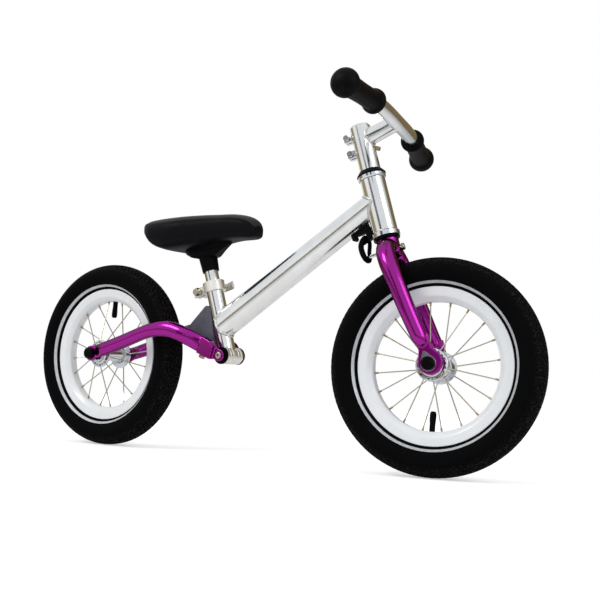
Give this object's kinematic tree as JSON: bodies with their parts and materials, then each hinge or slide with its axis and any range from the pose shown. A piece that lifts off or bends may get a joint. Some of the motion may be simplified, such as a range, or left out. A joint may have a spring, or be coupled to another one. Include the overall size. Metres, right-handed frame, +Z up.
{
  "type": "balance bike",
  "caption": "Child's balance bike with aluminium frame, sprung rear arm, spoked wheels with air tyres, steering limiter and quick-release saddle.",
  "frame": {"origin": "on the floor under the middle of the bounding box, with the front end in its resting position turned slightly to the left", "axes": "+X forward, +Y to the rider's left, +Z up"},
  "size_m": [0.915, 0.3906, 0.529],
  "materials": {
    "polished_aluminium": "polished, clear coated",
    "chrome": "bright plated",
    "brass": "yellow passivated steel, satin",
    "stainless_steel": "turned, satin",
    "purple_paint": "translucent metallic magenta, high gloss",
    "white_paint": "gloss white",
    "tyre_rubber": "matt tread with smooth sidewall",
    "black_rubber": "matt",
    "black_plastic": "fine grain",
    "saddle_cover": "synthetic leather, semi-matt",
    "grey_elastomer": "smooth, slate grey"
  },
  "bodies": {
    "frame": {"main_tube": "polished_aluminium", "head_tube": "polished_aluminium", "seat_tube": "polished_aluminium", "pivot_shell": "polished_aluminium", "pivot_bush_left": "black_plastic", "pivot_bush_right": "black_plastic", "headset_lower_cup": "chrome", "headset_upper_cup": "chrome", "headset_lower_bearing": "stainless_steel", "headset_upper_bearing": "stainless_steel", "limiter_hook": "black_plastic", "limiter_band": "black_rubber", "seat_clamp": "polished_aluminium", "seat_clamp_bolt": "stainless_steel"},
    "quick_release_lever": {"quick_release_lever": "polished_aluminium"},
    "front_end": {"fork": "purple_paint", "headset_crown_seal": "black_plastic", "headset_top_cover": "black_plastic", "stem": "polished_aluminium", "stem_bolt_lower": "chrome", "stem_bolt_upper": "chrome", "stem_lock_screw": "brass", "steerer_plug": "polished_aluminium", "handlebar": "polished_aluminium", "grip_left": "black_rubber", "grip_right": "black_rubber", "limiter_post": "chrome", "limiter_post_nut": "brass", "front_axle": "stainless_steel", "front_axle_cover_left": "black_plastic", "front_axle_cover_right": "black_plastic", "front_tab_washer_left": "chrome", "front_tab_washer_right": "chrome"},
    "front_wheel": {"front_tyre": "tyre_rubber", "front_rim": "white_paint", "front_inner_tube": "black_rubber", "front_valve_cap": "black_plastic", "front_spoked_hub": "chrome", "front_hub_bearing_left": "stainless_steel", "front_hub_bearing_right": "stainless_steel"},
    "rear_arm": {"swingarm": "purple_paint", "suspension_elastomer": "grey_elastomer", "elastomer_bolt": "brass", "elastomer_bolt_nut": "stainless_steel", "pivot_bolt": "stainless_steel", "pivot_nut": "stainless_steel", "rear_axle": "stainless_steel", "rear_axle_cover_left": "black_plastic", "rear_axle_cover_right": "black_plastic"},
    "rear_wheel": {"rear_tyre": "tyre_rubber", "rear_rim": "white_paint", "rear_inner_tube": "black_rubber", "rear_valve_cap": "black_plastic", "rear_spoked_hub": "chrome", "rear_hub_bearing_left": "stainless_steel", "rear_hub_bearing_right": "stainless_steel"},
    "seat": {"seat_post": "polished_aluminium", "seat_post_sleeve": "black_plastic", "saddle": "saddle_cover", "saddle_base": "black_plastic"}
  },
  "joints": [
    {"name": "steering", "type": "hinge", "parent": "frame", "child": "front_end", "pos_m": [0.28714, -0.0098, 0.14398], "axis": [-0.3082, 0, 0.9513], "range_deg": [-48.5, 21.5], "deforming": ["limiter_band"]},
    {"name": "front_wheel_spin", "type": "hinge", "parent": "front_end", "child": "front_wheel", "pos_m": [0.3097, -0.00408, 0.15129], "axis": [-0.2229, 0.9722, -0.0722], "continuous": true},
    {"name": "rear_arm_hinge", "type": "hinge", "parent": "frame", "child": "rear_arm", "pos_m": [-0.0484, -0.0098, 0.1556], "axis": [0, 1, 0], "range_deg": [0, 5], "stiffness_Nm_per_rad": 500, "deforming": ["suspension_elastomer"]},
    {"name": "rear_wheel_spin", "type": "hinge", "parent": "rear_arm", "child": "rear_wheel", "pos_m": [-0.30595, -0.0098, 0.1515], "axis": [0, 1, 0], "continuous": true},
    {"name": "seat_height", "type": "slide", "parent": "frame", "child": "seat", "axis": [-0.3082, 0, 0.9513], "range_m": [-0.015, 0.045]},
    {"name": "quick_release", "type": "hinge", "parent": "frame", "child": "quick_release_lever", "pos_m": [-0.11149, 0.0044, 0.25468], "axis": [-0.3082, 0, 0.9513], "range_deg": [0, 170]}
  ]
}
